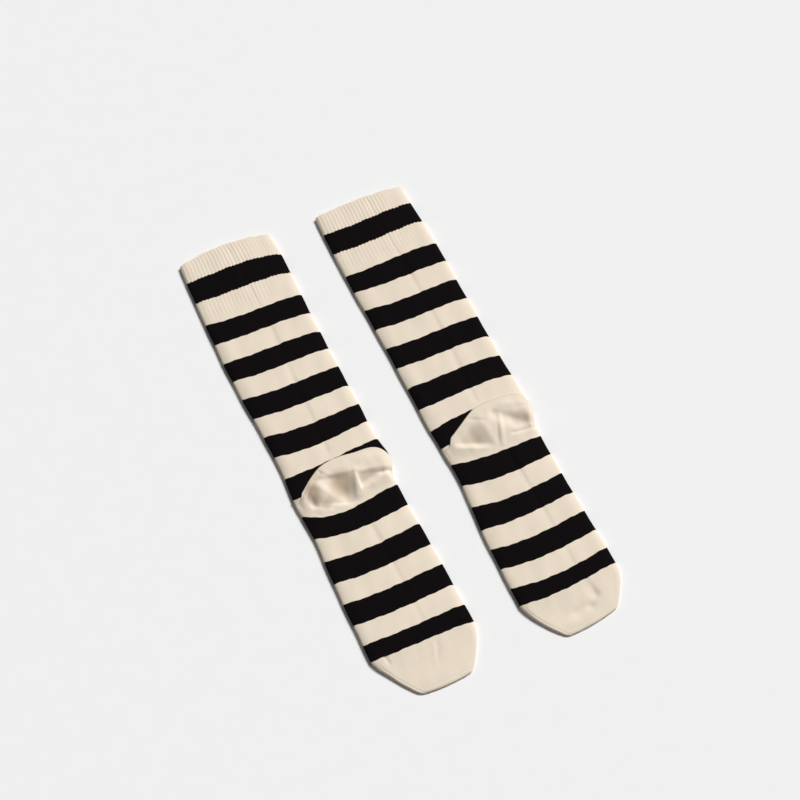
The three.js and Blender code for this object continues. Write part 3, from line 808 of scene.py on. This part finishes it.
def band_rows(sock, start, close, rows):
    """x, s and z of the heel as a plain band, for the columns where nothing is folded."""
    f = np.linspace(0, 1, rows)[:, None]
    x, s, z = (mix(first, last, f) for first, last in zip(start, close))
    left, right = widths(sock, s)
    ends_left, ends_right = widths(sock, np.array([LEG_END, HEEL_END]))
    beyond_left = left - mix(*ends_left, f)
    beyond_right = right - mix(*ends_right, f)
    start_x = start[0]
    beyond = np.where(start_x > 0, beyond_right, -beyond_left) * smooth(np.abs(start_x), 25, 38)
    return x + beyond * np.sin(np.pi * f) ** 0.5, s, z


def heel(sock, material):
    """The heel band, whose upper side is the pocket folded up over the leg."""
    places = places_round(FINE_STEP, FINE_UNDER_STEP)
    zone, _ = places
    upper = np.isin(zone, UPPER)
    left, right = widths(sock, np.array([LEG_END, HEEL_END]))
    (start_x, close_x), (start_z, close_z) = section(places, left, right, np.full(2, FLAT_HEIGHT))
    start = start_x, LEG_END + wave(sock, start_x, LEG_END), start_z
    close = close_x, HEEL_END + wave(sock, close_x, HEEL_END), close_z
    fold = sock["fold"]
    reach = upper & (start_x > fold[0]["across"]) & (start_x <= fold[-1]["across"] + 0.3)
    tip_x = np.where(reach, read_table(fold, "across", "x", start_x), start_x)
    tip_s = np.where(reach, read_table(fold, "across", "s", start_x), LEG_END)
    folded = smooth(LEG_END - tip_s, *FOLDED)
    v, *pocket = pocket_rows(sock, start, close, tip_x, tip_s, folded)
    band = band_rows(sock, start, close, len(v))
    x, s, z = (mix(flat, raised, folded) for flat, raised in zip(band, pocket))
    above = upper[None, :] & (s < LEG_END)
    z = np.where(above, np.maximum(z, top_height(sock, x, s) + POCKET_CLEARANCE), z)
    piece = make_piece(sock, "heel", x, s, z, v, material)
    return piece


def toe(sock, material):
    """The toe narrows along its gores to a joined line across the tip."""
    places = places_round(FINE_STEP, FINE_UNDER_STEP)
    rows = sock["toe"]
    tip, last = rows[TIP_ROW], rows[-1]
    to_tip = np.linspace(FOOT_END, tip["s"], TOE_MESH_ROWS)
    v = np.concatenate([to_tip, np.linspace(tip["s"] + 0.5, last["s"], TIP_MESH_ROWS)])
    left, right, height, shoulder = (
        read_table(rows, "s", key, v) for key in ("left", "right", "height", "shoulder")
    )
    left = np.append(left, left[-1] - TIP_CLOSE)
    right = np.append(right, right[-1] - TIP_CLOSE)
    height = np.append(height, TIP_HEIGHT)
    shoulder = np.append(shoulder, shoulder[-1])
    v = np.append(v, v[-1] + 0.1)
    x, z = section(places, left, right, height, shoulder=shoulder)
    share = ((v - FOOT_END) / (last["s"] - FOOT_END)).clip(0, 1)[:, None]
    start = wave(sock, x, FOOT_END) * (1 - smooth(share, 0, 0.9))
    bow = TIP_BOW * share ** 4 * np.minimum(1, (x / last["right"]) ** 2)
    s = v[:, None] + start + sock["toe_slant"] * x * share - bow
    lift = (tip["height"] - height) * TIP_LIFT * smooth(v, tip["s"], last["s"])
    z = z + lift[:, None]
    top = upper_share(places, z, height[:, None].clip(2))
    gore = bell(x + (left[:, None] - GORE_INSET), GORE_SPREAD)
    gore = gore + RIGHT_GORE_SHARE * bell(x - (right[:, None] - GORE_INSET), GORE_SPREAD)
    gore = gore * smooth(v, FOOT_END + 3, FOOT_END + 10)[:, None]
    seam = bell(v[:, None] - tip["s"] + SEAM_BEFORE_TIP, SEAM_SPREAD)
    relief = ripple(sock, x, s) - folds_depth(sock["toe_folds"], x, s)
    z = z + top * (relief - GORE_DEPTH * gore - SEAM_DEPTH * seam)
    piece = make_piece(sock, "toe", x, s, z, v, material)
    return piece


class Nodes:
    """Short ways to add shader nodes to a material."""

    def __init__(self, name):
        self.material = bpy.data.materials.new(name)
        self.material.use_nodes = True
        self.tree = self.material.node_tree
        self.tree.nodes.clear()

    def add(self, kind, **settings):
        """A node of one kind, with its settings."""
        node = self.tree.nodes.new(kind)
        for key, value in settings.items():
            setattr(node, key, value)
        return node

    def link(self, source, target):
        """Joins an output to an input."""
        self.tree.links.new(source, target)

    def value(self, target, value):
        """Sets an input to a number, or joins it to an output."""
        if isinstance(value, (int, float)):
            target.default_value = value
        else:
            self.link(value, target)

    def math(self, operation, a, b=0.0, c=0.0):
        """The result of a sum of up to three values."""
        node = self.add("ShaderNodeMath", operation=operation)
        for target, value in zip(node.inputs, (a, b, c)):
            self.value(target, value)
        return node.outputs[0]

    def noise(self, vector, scale, detail=2.0):
        """Soft noise from 0 to 1."""
        node = self.add("ShaderNodeTexNoise")
        self.link(vector, node.inputs["Vector"])
        node.inputs["Scale"].default_value = scale
        node.inputs["Detail"].default_value = detail
        return node.outputs[0]

    def between(self, value, low, high):
        """A value from 0 to 1 as one from low to high."""
        node = self.add("ShaderNodeMapRange")
        self.link(value, node.inputs["Value"])
        node.inputs["To Min"].default_value = low
        node.inputs["To Max"].default_value = high
        return node.outputs[0]

    def colours(self, share, first, second):
        """The first colour where the share is 0 and the second where it is 1."""
        node = self.add("ShaderNodeMix", data_type="RGBA")
        self.link(share, node.inputs["Factor"])
        for name, colour in (("A", first), ("B", second)):
            if isinstance(colour, tuple):
                node.inputs[name].default_value = colour
            else:
                self.link(colour, node.inputs[name])
        return node.outputs["Result"]

    def finish(self, shader):
        """Joins the shader to the material's output, and gives the material."""
        out = self.add("ShaderNodeOutputMaterial")
        self.link(shader.outputs[0], out.inputs[0])
        return self.material


def in_oval(n, vector, oval):
    """How far each place is in an oval: 0 outside it, and what the oval says in its middle."""
    place = n.add("ShaderNodeMapping", vector_type="TEXTURE")
    n.link(vector, place.inputs["Vector"])
    place.inputs["Location"].default_value = (*oval["at"], 0)
    place.inputs["Rotation"].default_value = (0, 0, math.radians(oval["turn"]))
    place.inputs["Scale"].default_value = (*oval["half"], 1)
    away = n.add("ShaderNodeVectorMath", operation="LENGTH")
    n.link(place.outputs[0], away.inputs[0])
    inside = n.add("ShaderNodeMapRange", interpolation_type="SMOOTHSTEP")
    n.link(away.outputs["Value"], inside.inputs["Value"])
    inside.inputs["From Min"].default_value = 1
    inside.inputs["From Max"].default_value = HOLLOW_SHADE_FULL
    inside.inputs["To Max"].default_value = oval["by"]
    return inside.outputs[0]


def knit_material(name, striped, hollow_shades=()):
    """Fine knitting: V stitches in bump with painted shade between them, soft mottling, stripes that
    follow the courses, and painted shade along the heel's rim and in the pocket's hollows.
    """
    n = Nodes(name)
    uv = n.add("ShaderNodeUVMap", uv_map="Knit").outputs[0]
    split = n.add("ShaderNodeSeparateXYZ")
    n.link(uv, split.inputs[0])
    u, v = split.outputs[0], split.outputs[1]
    drift = n.noise(uv, DRIFT_SCALE, 1.0)
    wale = n.math("DIVIDE", n.math("MULTIPLY_ADD", drift, STITCH_DRIFT, u), WALE)
    inside = n.math("ABSOLUTE", n.math("SUBTRACT", n.math("FRACT", wale), 0.5))
    course = n.math("DIVIDE", n.math("MULTIPLY_ADD", drift, STITCH_DRIFT, v), COURSE)
    course = n.math("ADD", course, n.math("MULTIPLY", inside, STITCH_SLANT))
    loops = n.math("SINE", n.math("MULTIPLY", course, 2 * math.pi))
    loops = n.math("MULTIPLY_ADD", loops, 0.5, 0.5)
    column = n.math("SINE", n.math("MULTIPLY", n.math("FRACT", wale), math.pi))
    stitch = n.math("MULTIPLY", column, n.math("MULTIPLY_ADD", loops, 0.6, 0.4))
    fluff = n.noise(uv, FLUFF_SCALE, 4.0)
    broad = n.noise(uv, MOTTLING_SCALE, 3.0)

    # Where the stitches and fluff are low the cream is deeper: painted shade in the gaps between
    # stitches, with the fluff's random tone
    raised = n.math("MULTIPLY_ADD", fluff, 0.5, n.math("MULTIPLY", stitch, 0.5))
    mottled = n.add("ShaderNodeHueSaturation")
    n.link(n.colours(n.between(raised, 1.0, 0.0), CREAM, CREAM_DEEP_AND_GAP_SHADE), mottled.inputs["Color"])
    value = n.between(broad, *MOTTLING)
    if not striped:
        # Painted shade along the heel's rim: the cream is darker near the rim's course, where the
        # stitches also open up
        from_rim = n.math("ABSOLUTE", n.math("SUBTRACT", v, RIM_COURSE))
        near_rim = n.math("SUBTRACT", 1.0, n.math("DIVIDE", from_rim, RIM_SPREAD))
        near_rim = n.math("MAXIMUM", near_rim, 0.0)
        open_stitches_and_rim_shade = n.math("MULTIPLY", near_rim, n.math("MULTIPLY_ADD", fluff, 0.6, 0.05))
        value = n.math("MULTIPLY", value, n.math("SUBTRACT", 1.0, open_stitches_and_rim_shade))
    n.link(value, mottled.inputs["Value"])
    colour = mottled.outputs[0]
    # Painted shade: the cream turns darker and warmer inside each of the pocket's ovals
    for hollow_shade in hollow_shades:
        colour = n.colours(in_oval(n, uv, hollow_shade), colour, CREAM_HOLLOW_SHADE)

    shader = n.add("ShaderNodeBsdfPrincipled")
    if striped:
        uneven = n.math("MULTIPLY", n.math("SUBTRACT", fluff, 0.5), STRIPE_RAGGEDNESS)
        ragged = n.math("ADD", n.math("ADD", v, uneven), n.math("MULTIPLY", inside, 0.5))
        edges_passed = 0
        for edge in STRIPE_EDGES:
            edges_passed = n.math("ADD", n.math("GREATER_THAN", ragged, edge), edges_passed)
        dark_here = n.math("MODULO", edges_passed, 2.0)
        # The dark yarn is lighter on its loops and darker in the gaps between them: painted shade
        colour = n.colours(dark_here, colour, n.colours(stitch, DARK, DARK_LIGHTER))
        n.link(n.between(dark_here, CREAM_SHEEN, DARK_SHEEN), shader.inputs["Sheen Weight"])
    else:
        shader.inputs["Sheen Weight"].default_value = CREAM_SHEEN
    n.link(colour, shader.inputs["Base Color"])
    n.link(n.between(fluff, *ROUGHNESS), shader.inputs["Roughness"])
    shader.inputs["Specular IOR Level"].default_value = SPECULAR
    shader.inputs["Sheen Roughness"].default_value = SHEEN_ROUGHNESS
    bump = n.add("ShaderNodeBump")
    bump.inputs["Distance"].default_value = STITCH_BUMP * MM
    bump.inputs["Strength"].default_value = BUMP_STRENGTH
    n.link(n.math("MULTIPLY_ADD", fluff, 0.5, stitch), bump.inputs["Height"])
    n.link(bump.outputs[0], shader.inputs["Normal"])
    return n.finish(shader)


def floor_material():
    """A pale matte board with the faintest unevenness."""
    n = Nodes("pale_board")
    coords = n.add("ShaderNodeTexCoord")
    grain = n.noise(coords.outputs["Object"], FLOOR_GRAIN, 3.0)
    shader = n.add("ShaderNodeBsdfPrincipled")
    n.link(n.colours(grain, FLOOR_PALE, FLOOR_PALER), shader.inputs["Base Color"])
    n.link(n.between(grain, *FLOOR_ROUGHNESS), shader.inputs["Roughness"])
    return n.finish(shader)


def add_floor():
    """The plain surface that the socks lie on."""
    half = FLOOR_HALF
    mesh = bpy.data.meshes.new("floor")
    corners = [(-half, -half, 0), (half, -half, 0), (half, half, 0), (-half, half, 0)]
    mesh.from_pydata(corners, [], [(0, 1, 2, 3)])
    mesh.materials.append(floor_material())
    floor = bpy.data.objects.new("floor", mesh)
    bpy.context.scene.collection.objects.link(floor)


def looking(along):
    """The rotation of a light or camera that looks along a direction."""
    return Vector(along).to_track_quat("-Z", "Y").to_euler()


def add_sun():
    """One far, soft light, so that the floor is evenly lit."""
    data = bpy.data.lights.new("key", "SUN")
    data.energy = SUN_STRENGTH
    data.angle = math.radians(SUN_SPREAD)
    light = bpy.data.objects.new("key", data)
    light.location = SUN_PLACE
    light.rotation_euler = looking([-c for c in SUN_PLACE])
    bpy.context.scene.collection.objects.link(light)


def add_camera():
    """The camera, at the photograph's angle."""
    azimuth = math.radians(CAMERA_AZIMUTH)
    elevation = math.radians(CAMERA_ELEVATION)
    offset = CAMERA_DISTANCE * np.array([
        math.sin(azimuth) * math.cos(elevation),
        -math.cos(azimuth) * math.cos(elevation),
        math.sin(elevation),
    ])
    data = bpy.data.cameras.new("camera")
    data.lens = CAMERA_LENS
    data.sensor_width = CAMERA_SENSOR
    camera = bpy.data.objects.new("camera", data)
    camera.location = np.array(CAMERA_AIM) + offset
    camera.rotation_euler = looking(-offset)
    bpy.context.scene.collection.objects.link(camera)
    bpy.context.scene.camera = camera


def add_sky():
    """Plain white light from all round."""
    world = bpy.data.worlds.new("studio")
    world.use_nodes = True
    world.node_tree.nodes["Background"].inputs[0].default_value = (1, 1, 1, 1)
    world.node_tree.nodes["Background"].inputs[1].default_value = SKY_STRENGTH
    bpy.context.scene.world = world


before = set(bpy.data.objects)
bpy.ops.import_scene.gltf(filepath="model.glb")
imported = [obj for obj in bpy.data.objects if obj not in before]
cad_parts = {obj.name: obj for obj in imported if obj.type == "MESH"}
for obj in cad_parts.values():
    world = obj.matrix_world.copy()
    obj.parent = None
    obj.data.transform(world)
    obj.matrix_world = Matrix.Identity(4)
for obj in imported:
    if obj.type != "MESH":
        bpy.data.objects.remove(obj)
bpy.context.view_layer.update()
add_floor()
striped = knit_material("striped_knit", True)
plain = knit_material("cream_knit", False)
ribbed = knit_material("cream_rib", True)
for sock in (LEFT, RIGHT):
    cuff(sock, ribbed)
    plain_tube(sock, "leg", CUFF_END, LEG_END, striped)
    # The heel's knitting carries the painted shade of its pocket's hollows
    heel(sock, knit_material(f"{sock['name']}_heel_knit_painted_shade", False, sock["hollow_shades"]))
    plain_tube(sock, "foot", HEEL_END, FOOT_END, striped)
    toe(sock, plain)
add_camera()
add_sky()
add_sun()
bpy.context.scene.view_settings.view_transform = "Standard"
